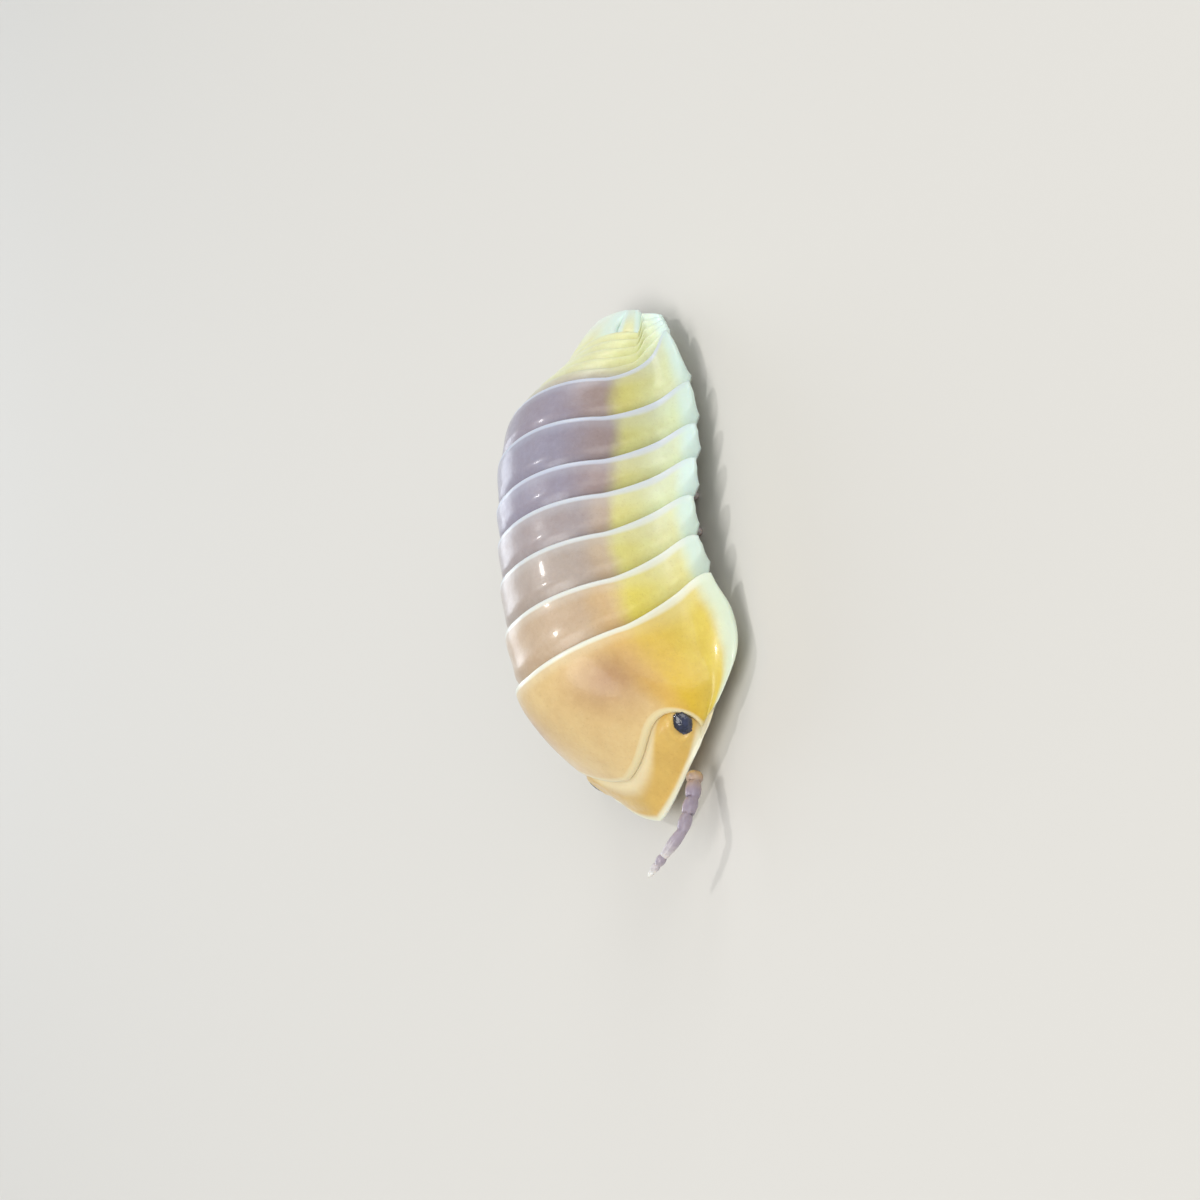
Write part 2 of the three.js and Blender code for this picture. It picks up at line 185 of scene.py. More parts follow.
class Form:
    """Points with their own values, and faces: one piece of the animal."""

    def __init__(self):
        self.points, self.faces, self.values = [], [], {}

    def point(self, place, **values):
        index = len(self.points)
        self.points.append(place)
        for key, value in values.items():
            self.values.setdefault(key, {})[index] = value
        return index

    def copy_point(self, place, index):
        return self.point(place, **{key: of[index] for key, of in self.values.items() if index in of})

    def build(self, name, material, replaces, slot):
        mesh = bpy.data.meshes.new(name)
        mesh.from_pydata([(p + SHIFT) * MM for p in self.points], [], self.faces)
        for key, of in self.values.items():
            layer = mesh.attributes.new(key, "FLOAT", "POINT")
            for index, value in of.items():
                layer.data[index].value = value
        for polygon in mesh.polygons:
            polygon.use_smooth = True
        mesh.materials.append(material)
        mesh.validate()
        piece = bpy.data.objects.new(name, mesh)
        bpy.context.scene.collection.objects.link(piece)
        make_normals_point_out(mesh)
        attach(piece, "root")
        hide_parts(*replaces)

    def skin(self, rings):
        """Faces between each ring of points and the next."""
        for a, b in zip(rings, rings[1:]):
            for k in range(len(a)):
                after = (k + 1) % len(a)
                self.faces.append((a[k], a[after], b[after], b[k]))


def make_normals_point_out(mesh):
    work = bmesh.new()
    work.from_mesh(mesh)
    bmesh.ops.recalc_face_normals(work, faces=work.faces)
    work.to_mesh(mesh)
    work.free()


RIM_STEPS = 5           # faces round the rim of a plate


def plate_form(form, outer, inner, rows, columns):
    """A closed plate over a grid: outer and inner give place and values, and the rim is rounded."""
    grids = []
    for face in (outer, inner):
        grid = []
        for i in range(rows + 1):
            line = []
            for j in range(columns + 1):
                place, values = face(i / rows, j / columns)
                line.append(form.point(place, **values))
            grid.append(line)
        grids.append(grid)
    top, under = grids
    for i in range(rows):
        for j in range(columns):
            form.faces.append((top[i][j], top[i][j + 1], top[i + 1][j + 1], top[i + 1][j]))
            form.faces.append((under[i][j], under[i + 1][j], under[i + 1][j + 1], under[i][j + 1]))
    around = [(0, j) for j in range(columns)] + [(i, columns) for i in range(rows)]
    around += [(rows, j) for j in range(columns, 0, -1)] + [(i, 0) for i in range(rows, 0, -1)]
    loops = []
    for i, j in around:
        a, b = form.points[top[i][j]], form.points[under[i][j]]
        inward_i = 1 if i == 0 else (-1 if i == rows else 0)
        inward_j = 1 if j == 0 else (-1 if j == columns else 0)
        beside = form.points[top[i + inward_i][j + inward_j]]
        half = (a - b) / 2
        outward = a - beside
        outward -= half * (outward.dot(half) / max(half.dot(half), 1e-12))
        outward = outward.normalized() * half.length
        ring = [top[i][j]]
        for k in range(1, RIM_STEPS):
            turn = math.pi * k / RIM_STEPS
            spot = (a + b) / 2 + half * math.cos(turn) + outward * math.sin(turn)
            ring.append(form.copy_point(spot, top[i][j]))
        ring.append(under[i][j])
        loops.append(ring)
    for n, ring in enumerate(loops):
        after = loops[(n + 1) % len(loops)]
        for k in range(RIM_STEPS):
            form.faces.append((ring[k], ring[k + 1], after[k + 1], after[k]))
    return form


ON_FLOOR = 0.01         # a chain that ends lower than this has a flat end
JOINT, BARREL = 0.72, 0.28      # width of an article at its ends, and what its middle adds


def tube_form(form, points, radii, sides=14, per=6, swell=0.18):
    """A chain of articles through points: each is a little barrel, narrow at its joints."""
    rings = []
    for n in range(len(points) - 1):
        a, b = points[n], points[n + 1]
        for k in range(per + 1):
            f = k / per
            barrel = JOINT + BARREL * math.sin(math.pi * clamp(f * 0.9 + 0.05)) ** 0.5
            radius = mix(radii[n], radii[n + 1], f) * barrel * (1 + swell * math.sin(math.pi * f))
            rings.append((a.lerp(b, f), (b - a).normalized(), radius, n + f))
    if points[-1].z < ON_FLOOR:
        rings[-1] = (points[-1], Vector((0, 0, -1)), radii[-1], len(points) - 1.0)
    side = Vector((0.1, 1, 0.25)).normalized()
    loops = []
    for place, along, radius, article in rings:
        u = (side - along * side.dot(along)).normalized()
        w = along.cross(u)
        loop = []
        for k in range(sides):
            turn = 2 * math.pi * k / sides
            spot = place + (u * math.cos(turn) + w * math.sin(turn)) * radius
            loop.append(form.point(spot, article=article))
        loops.append(loop)
    form.skin(loops)
    for loop, (place, along, radius, article), sign in ((loops[0], rings[0], -1), (loops[-1], rings[-1], 1)):
        rounding = 0 if place.z < ON_FLOOR else sign * radius * 0.5
        tip = form.point(place + along * rounding, article=article)
        for k in range(sides):
            form.faces.append((loop[k], loop[(k + 1) % sides], tip))
    return form


# Edges of the plates

def hind_edge(n):
    sweep = LAST_SWEEP if n == 7 else SWEEP
    return lambda a: HINDS[n - 1] + BOW * a + sweep * max(0, (a - 0.5) / 0.5) ** 1.5


def head_edge(a):
    notch = NOTCH * math.exp(-((a - NOTCH_AT) / NOTCH_WIDE) ** 2)
    return HEAD_HIND + notch - LOBE * smooth(a, LOBE_FROM, LOBE_TO)


def pleon_hind(a):
    return PLEON_END + (TAIL - PLEON_SHORT - PLEON_END) * smooth(a, PLEON_SIDE - 0.06, PLEON_SIDE + 0.04)


CORNER_REACH = 0.16     # how much of the way across the back a rounded corner takes


def corner(a, size):
    """How far the edge draws back at a corner of the given size."""
    past = max(0, (a - (1 - CORNER_REACH)) / CORNER_REACH)
    return size * (1 - math.sqrt(max(0, 1 - past * past)))


def spread(j):
    """Columns of a plate from one lower edge to the other, closer together there."""
    t = 2 * j - 1
    return math.copysign(abs(t) ** 0.8, t) * 0.985


# Materials

def color(hex_code):
    """A colour as it looks on screen, as Blender's linear values."""
    parts = [int(hex_code[k:k + 2], 16) / 255 for k in (1, 3, 5)]
    return [c / 12.92 if c <= 0.04045 else ((c + 0.055) / 1.055) ** 2.4 for c in parts] + [1.0]


class Shader:
    """A small helper that adds nodes to a material and links them."""

    def __init__(self, name, roughness=0.35, coat=0.3, flesh=0.3, depth=0.5):
        self.material = bpy.data.materials.new(name)
        self.material.use_nodes = True
        self.tree = self.material.node_tree
        self.surface = self.tree.nodes["Principled BSDF"]
        self.set_value("Roughness", roughness)
        self.set_value("Coat Weight", coat)
        self.set_value("Coat Roughness", 0.12)
        self.set_value("Subsurface Weight", flesh)
        self.set_value("Subsurface Scale", depth * MM)
        self.surface.inputs["Subsurface Radius"].default_value = (1.0, 0.75, 0.5)
        place = self.node("ShaderNodeTexCoord")
        scale = self.node("ShaderNodeVectorMath", operation="SCALE")
        scale.inputs["Scale"].default_value = 1 / MM
        self.link(place.outputs["Object"], scale.inputs[0])
        self.place = scale.outputs[0]

    def set_value(self, socket, value):
        self.surface.inputs[socket].default_value = value

    def node(self, kind, **settings):
        node = self.tree.nodes.new(kind)
        for key, value in settings.items():
            setattr(node, key, value)
        return node

    def link(self, source, target):
        self.tree.links.new(source, target)

    def attribute(self, name):
        return self.node("ShaderNodeAttribute", attribute_name=name).outputs["Fac"]

    def noise(self, scale, detail=3, rough=0.55):
        node = self.node("ShaderNodeTexNoise")
        node.inputs["Scale"].default_value = scale
        node.inputs["Detail"].default_value = detail
        node.inputs["Roughness"].default_value = rough
        self.link(self.place, node.inputs["Vector"])
        return node.outputs["Fac"]

    def math(self, operation, a, b=None, c=None):
        node = self.node("ShaderNodeMath", operation=operation)
        for index, value in enumerate((a, b, c)):
            if value is None:
                continue
            if isinstance(value, (int, float)):
                node.inputs[index].default_value = value
            else:
                self.link(value, node.inputs[index])
        return node.outputs[0]

    def ramp(self, factor, stops):
        """Colours or greys along a factor; stops are (position, colour) pairs."""
        node = self.node("ShaderNodeValToRGB")
        node.color_ramp.interpolation = "EASE"
        elements = node.color_ramp.elements
        while len(elements) < len(stops):
            elements.new(0.5)
        for element, (position, value) in zip(elements, stops):
            element.position = position
            element.color = color(value) if isinstance(value, str) else [value, value, value, 1]
        self.link(factor, node.inputs["Fac"])
        return node.outputs["Color"]

    def blend(self, factor, a, b, mode="MIX"):
        node = self.node("ShaderNodeMix", data_type="RGBA", blend_type=mode)
        for socket, value in ((node.inputs["Factor"], factor), (node.inputs[6], a), (node.inputs[7], b)):
            if isinstance(value, str):
                socket.default_value = color(value)
            elif isinstance(value, (int, float)):
                socket.default_value = value
            else:
                self.link(value, socket)
        return node.outputs[2]

    def bump(self, height, strength, distance):
        node = self.node("ShaderNodeBump")
        node.inputs["Strength"].default_value = strength
        node.inputs["Distance"].default_value = distance * MM
        self.link(height, node.inputs["Height"])
        self.link(node.outputs["Normal"], self.surface.inputs["Normal"])

    def finish(self, base, height=None, strength=0.25, distance=0.05, rough=None):
        self.link(base, self.surface.inputs["Base Color"])
        if rough is not None:
            self.link(rough, self.surface.inputs["Roughness"])
        if height is not None:
            self.bump(height, strength, distance)
        return self.material


def shell_material(name, back, border, flank, skirt, hem, line, patch=None, fore=None, rear=None,
                   turns=(0.36, 0.52, 0.63, 0.83), line_strength=0.9):
    """A plate: colours from its middle to its lower hem, a pale hind line and faint mottling."""
    shader = Shader(name, roughness=0.34, coat=0.25, flesh=0.25, depth=0.4)
    shader.set_value("Sheen Weight", 0.3)
    shader.set_value("Sheen Roughness", 0.4)
    wobble = shader.math("MULTIPLY_ADD", shader.noise(0.8, 3, 0.6), 0.08, -0.04)
    across = shader.math("ADD", shader.attribute("across"), wobble)
    base = shader.ramp(across, [(0.0, back), (turns[0], back), (turns[1], border), (turns[2], flank),
                                (turns[3], skirt), (0.99, hem)])
    if rear:
        base = shader.blend(shader.ramp(shader.attribute("rear"), [(0.0, 1.0), (0.3, 0.0)]), base, rear)
        base = shader.blend(shader.ramp(shader.attribute("rear"), [(0.65, 0.0), (1.0, 0.85)]), base, hem)
    if patch:
        base = shader.blend(shader.attribute("patch"), base, patch)
    blotch = shader.ramp(shader.noise(1.4, 4, 0.65), [(0.35, 0.0), (0.7, 1.0)])
    blotched = shader.blend(1.0, base, "#d9c4b4", "MULTIPLY")
    base = shader.blend(shader.math("MULTIPLY", blotch, 0.22), base, blotched)
    mottle = shader.ramp(shader.noise(6.0, 3, 0.6), [(0.4, 0.0), (0.7, 1.0)])
    mottled = shader.blend(0.6, base, "#ffffff", "SOFT_LIGHT")
    base = shader.blend(shader.math("MULTIPLY", mottle, 0.16), base, mottled)
    specks = shader.ramp(shader.noise(16.0, 2), [(0.58, 0.0), (0.72, 1.0)])
    specked = shader.blend(1.0, base, "#b89f8c", "MULTIPLY")
    base = shader.blend(shader.math("MULTIPLY", specks, 0.14), base, specked)
    hind = shader.ramp(shader.attribute("hind"), [(0.0, 1.0), (0.05, 0.85), (0.13, 0.2), (0.45, 0.0)])
    base = shader.blend(shader.math("MULTIPLY", hind, line_strength), base, line)
    if fore:
        band = shader.ramp(shader.attribute("fore"), [(0.0, 0.9), (0.4, 0.6), (1.0, 0.0)])
        base = shader.blend(band, base, fore)
    side = shader.ramp(shader.attribute("side"), [(0.0, 1.0), (0.2, 0.75), (0.7, 0.0)])
    base = shader.blend(side, base, hem)
    grain = shader.noise(9.0, 4, 0.65)
    rough = shader.ramp(shader.noise(5.0, 3), [(0.3, 0.28), (0.7, 0.42)])
    return shader.finish(base, grain, 0.22, 0.03, rough)


SHELLS = {
    1: dict(back="#e9ca8e", border="#e2b858", flank="#e0bc36", skirt="#e0ca5c", hem="#d8e4cd", line="#eef0e2",
            patch="#b88e62", fore="#f0dfb0", turns=(0.35, 0.46, 0.56, 0.86)),
    2: dict(back="#c8b094", border="#d2b280", flank="#e1d25e", skirt="#e1db92", hem="#d2e4d8", line="#e8ece6",
            turns=(0.32, 0.46, 0.58, 0.84)),
    3: dict(back="#b4a69c", border="#c0aa8e", flank="#dad47e", skirt="#e0e2ac", hem="#d4e8dc", line="#dfe5e6",
            turns=(0.36, 0.5, 0.6, 0.86)),
    4: dict(back="#a99e9f", border="#b8a492", flank="#dbd688", skirt="#dfe8bc", hem="#d8eee6", line="#d8dfe8",
            turns=(0.38, 0.52, 0.61, 0.86)),
    5: dict(back="#9993a3", border="#a3908e", flank="#d0cc84", skirt="#dae4b8", hem="#d4eae2", line="#d2d9e8",
            turns=(0.28, 0.51, 0.62, 0.9)),
    6: dict(back="#9590a1", border="#998887", flank="#cac880", skirt="#d4dfb2", hem="#cfe4da", line="#cfd7e7",
            turns=(0.28, 0.53, 0.63, 0.9)),
    7: dict(back="#99919f", border="#9e8b86", flank="#d2cd7c", skirt="#d8e0b2", hem="#d1e6dc", line="#d0d8e8",
            turns=(0.26, 0.5, 0.62, 0.9)),
}
SHELL_MATERIALS = {n: shell_material(f"shell_{n}", **look) for n, look in SHELLS.items()}
TAIL_MATERIAL = shell_material("tail", back="#e9eab4", border="#e9eaa8", flank="#e9eaa6", skirt="#e8f1c2",
                               hem="#dff5ec", line="#eef6e0", rear="#b0a4a8", line_strength=0.15)
HEAD_MATERIAL = shell_material("head", back="#ddb760", border="#d9ab4e", flank="#d39f3c", skirt="#daa940",
                               hem="#f0f1da", line="#e2bf7c", fore="#f6eecf")


def plain_material(name, base, dark, scale=5.0, **settings):
    shader = Shader(name, **settings)
    tone = shader.ramp(shader.noise(scale, 4), [(0.3, base), (0.75, dark)])
    return shader.finish(tone, shader.noise(scale * 3, 3), 0.2, 0.02)


LIMB_MATERIAL = plain_material("limb", "#c9bdb6", "#9c909e", 4.0, flesh=0.3, depth=0.25)
BELLY_MATERIAL = plain_material("underside", "#e2dac6", "#cbbfae", 3.0, flesh=0.4, depth=0.6)
MOUTH_MATERIAL = plain_material("mouth", "#dcc9a2", "#b99b78", 5.0, flesh=0.3, depth=0.4)


def antenna_material():
    shader = Shader("antenna", flesh=0.25, depth=0.2)
    along = shader.attribute("article")
    stops = [(0.0, "#c9a45e"), (0.14, "#b49a86"), (0.3, "#9d90a0"), (0.7, "#a79ba8"), (0.9, "#efece6")]
    base = shader.ramp(shader.math("DIVIDE", along, 6.0), stops)
    mottle = shader.ramp(shader.noise(6.0, 3), [(0.35, 0.0), (0.8, 0.5)])
    return shader.finish(shader.blend(mottle, base, "#857a86"), shader.noise(20.0, 2), 0.15, 0.01)


ANTENNA_MATERIAL = antenna_material()


def eye_material():
    shader = Shader("eye", roughness=0.16, coat=0.8, flesh=0.0)
    base = shader.ramp(shader.noise(4.0, 2), [(0.3, "#191c2a"), (0.7, "#343a55")])
    return shader.finish(base)


EYE_MATERIAL = eye_material()


# The plates of the back

LIP = 0.16              # thickness of a plate at its hind rim
TUCK = 0.42             # how far a plate runs forward under the one before it
SINK = -0.24            # how far its hidden front lies below the surface
RISE = 0.08             # how far its hind rim stands above the surface
FLARE = 0.26            # how far its hind corner turns out
BULGE_START, BULGE_SPAN = 0.08, 0.72    # stretch of a half wave that the flare follows


def overlapping_plate(form, before, hind, rows=18, columns=96, round_front=0.36, round_hind=0.5,
                      tuck=TUCK, thick=0.3, rise=RISE, sink=SINK, flare=FLARE, front_flare=0.0, extra=None):
    """A plate whose front slides under the plate before it and whose hind rim stands proud."""
    def reach(a):
        front = further(before(a), a, -tuck * (1 - smooth(a, 0.86, 1.0)) + corner(a, round_front))
        back = further(hind(a), a, -corner(a, round_hind))
        return front, back

    def values(s, a):
        here = spacing(hind(a) - 0.1, a)
        wide = mix(1, 2.2, smooth(a, 0.45, 0.8))
        return dict(across=a, hind=max((hind(a) - corner(a, round_hind) / here - s) * here, 0) / wide,
                    side=(1 - a) * 5.5, **(extra(s, a) if extra else {}))

    def outer(i, j):
        t = spread(j)
        a = abs(t)
        front, back = reach(a)
        s = mix(front, back, i)
        away = (s - before(a)) * spacing(s, a)
        level = mix(sink, 0.0, smooth(away, -0.1, 0.55)) + rise * smooth(i, 0.5, 1.0)
        bulge = math.sin(math.pi * (BULGE_START + BULGE_SPAN * i))
        level += flare * max(front_flare, bulge) * smooth(a, 0.78, 1.0)
        return on_back(s, t, level), values(s, a)

    def inner(i, j):
        t = spread(j)
        a = abs(t)
        front, back = reach(a)
        s = mix(front, back, i)
        place, looks = outer(i, j)
        depth = mix(thick, LIP, smooth(i, 0.5, 1.0)) * mix(1, 0.75, smooth(a, 0.8, 1.0))
        return place + (on_back(s, t, -1) - on_back(s, t, 0)) * depth, looks

    return plate_form(form, outer, inner, rows, columns)


def first_plate_looks(s, a):
    """The darker cloud on the side of the first plate, and the pale band behind its front edge."""
    cloud = 0.95 * math.exp(-((s - 1.86) / 0.4) ** 2 - ((a - 0.32) / 0.18) ** 2)
    return {"patch": cloud, "fore": max(s - head_edge(a), 0) * spacing(s, a) / 0.13}


def rear_looks(s, a):
    """How far back a point of the tail is: greyer at the front of the pleon, pale at the tip."""
    return {"rear": (s - PLEON_FRONT) / (TAIL - PLEON_FRONT)}


for n in range(1, 8):
    first = n == 1
    form = overlapping_plate(Form(), head_edge if first else hind_edge(n - 1), hind_edge(n),
                             rows=30 if first else 18, tuck=0.0 if first else TUCK,
                             sink=0.0 if first else SINK, round_front=0.2 if first else 0.36,
                             front_flare=1.0 if first else 0.0,
                             extra=first_plate_looks if first else None)
    form.build(f"plate_{n}", SHELL_MATERIALS[n], [f"tergite_{n}"], "front_plates" if n < 4 else "back_plates")


# The tail

RINGS = 5


def pleon_edge(k):
    """Hind edge of ring k of the pleon, from the edge of the last large plate to the pleon's own."""
    last = hind_edge(7)
    return lambda a: mix(last(a), pleon_hind(a), k / RINGS)


pleon = Form()
for k in range(1, RINGS + 1):
    overlapping_plate(pleon, pleon_edge(k - 1), pleon_edge(k), rows=8, columns=72, tuck=0.25, thick=0.2,
                      sink=-0.12, rise=0.025, flare=0.06, round_front=0.12, round_hind=0.14,
                      extra=rear_looks)
pleon.build("pleon_rings", TAIL_MATERIAL, ["pleon"], "tail")


def tail_piece(from_t, to_t, waist, rows, columns, dome):
    """A flat piece at the tip of the tail, narrower in its middle by waist and raised there by dome."""
    def spot(i, j):
        t = mix(from_t, to_t, j) * (1 - waist * math.sin(math.pi * i))
        start = further(PLEON_END, abs(t), -0.15)
        return mix(start, TAIL - 0.03, i), t

    def outer(i, j):
        s, t = spot(i, j)
        swell = dome * math.sin(math.pi * j) * math.sin(math.pi * i)
        looks = dict(across=0.2, hind=(1 - i) * 1.2, side=2.0 * min(j, 1 - j) + 0.1, **rear_looks(s, abs(t)))
        return on_back(s, t, swell - 0.12 * (1 - smooth(i, 0, 0.2))), looks

    def inner(i, j):
        s, t = spot(i, j)
        looks = outer(i, j)[1]
        return on_back(s, t, -0.3), looks

    return plate_form(Form(), outer, inner, rows, columns)


tail_piece(-0.4, 0.4, 0.2, 16, 28, 0.08).build("telson_plate", TAIL_MATERIAL, ["telson"], "tail")
for side, word in ((1, "left"), (-1, "right")):
    piece = tail_piece(side * 0.44, side * 0.65, 0.0, 14, 10, 0.05)
    piece.build(f"uropod_{word}_plate", TAIL_MATERIAL, [f"uropod_{word}"], "tail")


# The head

FACE, RIM = 1.5, 0.4    # depth of the head behind its front, and thickness of its rim
BRIM = 0.29             # how far the rim turns out at its sides
BRIM_FROM, BRIM_TO = 0.4, 0.9       # where across the back it begins and is full
BRIM_FADE = 0.35        # the part of it that is lost by the hind edge
BROW = 0.05             # height of the rounded front edge
UNDER_PLATE = 0.26      # how far the hind edge lies below the surface, under plate 1
SOCKET = 0.46           # distance of the ring round an eye from the eye's middle
SOCKET_RISE, SOCKET_SINK = 0.05, 0.06


def near_eye(s, a):
    """Distance in millimetres from the middle of the eye."""
    along = (s - EYE["s"]) * spacing(EYE["s"], EYE["t"])
    middle = on_back(EYE["s"], EYE["t"])
    around = (on_back(EYE["s"], a) - middle).length
    return math.hypot(along, around)


def head_spot(i, j):
    t = spread(j)
    a = abs(t)
    front = further(0, a, corner(a, 0.25))
    back = further(head_edge(a), a, 0.12)
    return mix(front, back, i), t, a


def head_outer(i, j):
    s, t, a = head_spot(i, j)
    here = spacing(s, a)
    under_plate = smooth((s - head_edge(a)) * here, -0.5, 0.1)
    brow = BROW * (1 - smooth(s * here, 0.05, 0.4))
    side_brow = BRIM * smooth(a, BRIM_FROM, BRIM_TO) * (1 - BRIM_FADE * i)
    eye = near_eye(s, a)
    ring = SOCKET_RISE * math.exp(-((eye - SOCKET) / 0.12) ** 2) - SOCKET_SINK * (1 - smooth(eye, 0.2, 0.42))
    level = brow + side_brow + ring - UNDER_PLATE * under_plate
    pale = mix(0.8, 0.16, smooth(a, 0.1, 0.4))
    rim = s * here * mix(2.6, 0.5, smooth(a, 0.05, 0.6))
    looks = dict(across=mix(0.1, 0.8, smooth(a, 0.3, 0.9)), hind=1.2,
                 fore=max(head_edge(a) - s, 0) * here / pale, side=min((1 - a) * 4, rim) + 0.02)
    return on_back(s, t, level), looks


def head_inner(i, j):
    s, t, a = head_spot(i, j)
    looks = head_outer(i, j)[1]
    deep = RIM * 0.55 + FACE * 0.75 * math.sin(math.pi / 2 * i) * (1 - a * a)
    shorter = further(s, a, -0.75 * i * (1 - a * a))
    return on_back(shorter, t, -deep), looks


plate_form(Form(), head_outer, head_inner, 28, 110).build("head_cap", HEAD_MATERIAL, ["head"], "head")


# The lenses of an eye, as shares of its half sizes
LENS_APART, LENS_ROWS_APART = 0.3, 0.26
LENS_AREA = 0.93        # lenses lie within this distance of the eye's middle
LENS_RADIUS, LENS_SWELL = 0.17, 0.1


def eye_form(side):
    """A dome of small lenses in rows."""
    at = on_back(EYE["s"], side * EYE["t"], -EYE_SINK)
    out = (on_back(EYE["s"], side * EYE["t"], 1) - at).normalized()
    along = on_back(EYE["s"] + 0.1, side * EYE["t"], -EYE_SINK) - at
    along = (along - out * along.dot(out)).normalized()
    across = along.cross(out)
    form = Form()
    rings, turns = 26, 52
    lenses = []
    for row in range(-3, 4):
        for column in range(-3, 4):
            u, v = (column + 0.5 * (row % 2)) * LENS_APART, row * LENS_ROWS_APART
            if math.hypot(u, v) < LENS_AREA:
                lenses.append((u, v))
    grid = []
    for i in range(rings + 1):
        tilt = math.pi * i / rings
        line = []
        for k in range(turns):
            turn = 2 * math.pi * k / turns
            u, v, w = math.sin(tilt) * math.cos(turn), math.sin(tilt) * math.sin(turn), math.cos(tilt)
            swell = 1.0
            if w > -0.1:
                nearest = min(math.hypot(u - p, v - q) for p, q in lenses)
                swell += LENS_SWELL * math.sqrt(max(0, 1 - (nearest / LENS_RADIUS) ** 2))
            spot = across * u * EYE["across"] + along * v * EYE["along"] + out * w * EYE["out"]
            line.append(form.point(at + spot * swell))
        grid.append(line)
    form.skin(grid)
    return form


for side, word in ((1, "left"), (-1, "right")):
    eye_form(side).build(f"eye_{word}_dome", EYE_MATERIAL, [f"eye_{word}"], "eye")


# The underside

# Where the underside begins and ends, how far out it reaches, the height of its ribs and its narrowing
TRUNK = {"from": 1.42, "to": 8.1, "t": 0.62, "rib": 0.1, "taper": 0.9}
GROOVE = 0.07           # depth of the groove along its middle
COXA = 0.16             # height of the swellings down each side, one between each two cross-sections


def trunk_outer(i, j):
    s = mix(TRUNK["from"], TRUNK["to"], i)
    return on_back(s, TRUNK["t"] * (2 * j - 1), -PLATE - GAP), {}


def trunk_inner(i, j):
    s = mix(TRUNK["from"], TRUNK["to"], i)
    t = 2 * j - 1
    edge, looks = trunk_outer(i, j)
    fold = abs(math.sin(math.pi * (s + 0.05))) ** 0.6
    groove = GROOVE * math.exp(-(t / 0.12) ** 2)
    coxa = COXA * math.exp(-((abs(t) - 0.8) / 0.16) ** 2) * math.exp(-(((s % 1) - 0.55) / 0.22) ** 2)
    low = BELLY + TRUNK["rib"] * (1 - 2 * fold) + groove - coxa
    return leaning(s, edge.x * TRUNK["taper"], low), looks


plate_form(Form(), trunk_outer, trunk_inner, 120, 40).build("trunk", BELLY_MATERIAL, ["belly"], "underside")


FLAPS = 5               # gill flaps on each side
FLAPS_FROM, FLAPS_TO = 8.42, 9.05       # where the first and the last begin


def gill_flap(form, side, k):
    """One of the pale overlapping flaps under the tail."""
    start, size = mix(FLAPS_FROM, FLAPS_TO, k / (FLAPS - 1)), 0.5 - 0.05 * k

    def face(level):
        def at(i, j):
            u, v = 2 * j - 1, i
            wide = 0.16 + (0.95 - 0.12 * k) * math.sqrt(max(1 - (2 * v - 1) ** 2 * 0.75, 0)) * (u + 1) / 2
            s = start + size * v
            return leaning(s, side * (0.04 + wide), 1.1 - 0.1 * v - 0.03 * k + level - 0.06 * u * u), {}
        return at

    plate_form(form, face(0.0), face(-0.07), 8, 8)


gills = Form()
for k in range(FLAPS):
    for side in (1, -1):
        gill_flap(gills, side, k)


def pleon_core(outer):
    """The body that the flaps hang from: its upper face where outer is true, and else its lower face."""
    def at(i, j):
        s = mix(8.4, 9.2, i)
        edge = on_back(s, 0.55 * (2 * j - 1), -PLATE - GAP)
        return (edge if outer else leaning(s, edge.x * 0.9, 1.15 - 0.1 * i)), {}
    return at


plate_form(gills, pleon_core(True), pleon_core(False), 10, 14)
gills.build("gill_flaps", BELLY_MATERIAL, ["pleopods"], "underside")


def mouth_form():
    """Two long jaw-feet side by side, with the upper lip before them and palps outside."""
    form = Form()

    def lobe(x, y, z, wide, long, high, lean):
        rings, turns = 12, 20
        grid = []
        for i in range(rings + 1):
            tilt = math.pi * i / rings
            line = []
            for k in range(turns):
                turn = 2 * math.pi * k / turns
                u, v, w = math.sin(tilt) * math.cos(turn), math.cos(tilt), math.sin(tilt) * math.sin(turn)
                v = math.copysign(abs(v) ** 0.85, v)
                spot = Vector((u * wide, v * long, w * high + v * long * lean))
                line.append(form.point(Vector((x, y, z)) + spot))
            grid.append(line)
        form.skin(grid)

    lobe(0, -6.8, 0.8, 0.5, 0.22, 0.16, 0.2)
    for side in (1, -1):
        lobe(side * 0.3, -6.25, 0.72, 0.29, 0.62, 0.24, 0.1)
        lobe(side * 0.68, -6.3, 0.78, 0.17, 0.5, 0.18, 0.1)
        lobe(side * 0.42, -6.82, 0.64, 0.14, 0.2, 0.12, 0.0)
    return form


mouth_form().build("jaws", MOUTH_MATERIAL, ["mouthparts"], "underside")


# The legs and feelers

HIP_X = 2.15
LEG_AT = (2.0, 2.9, 3.95, 4.95, 5.8, 6.6, 7.45)     # where the legs meet the body, in cross-sections
LEG_POINTS = {          # distance from the middle, share of the leg's splay, height
    "knee": (1.75, 0.2, 1.15), "shin": (2.5, 0.6, 0.85), "ankle": (2.75, 0.9, 0.5), "foot": (2.8, 1.0, 0),
}
LEG_RADII = [0.29, 0.26, 0.25, 0.24, 0.2, 0.14, 0.09]
BRISTLES = 4            # under each of the three lower stretches of a leg


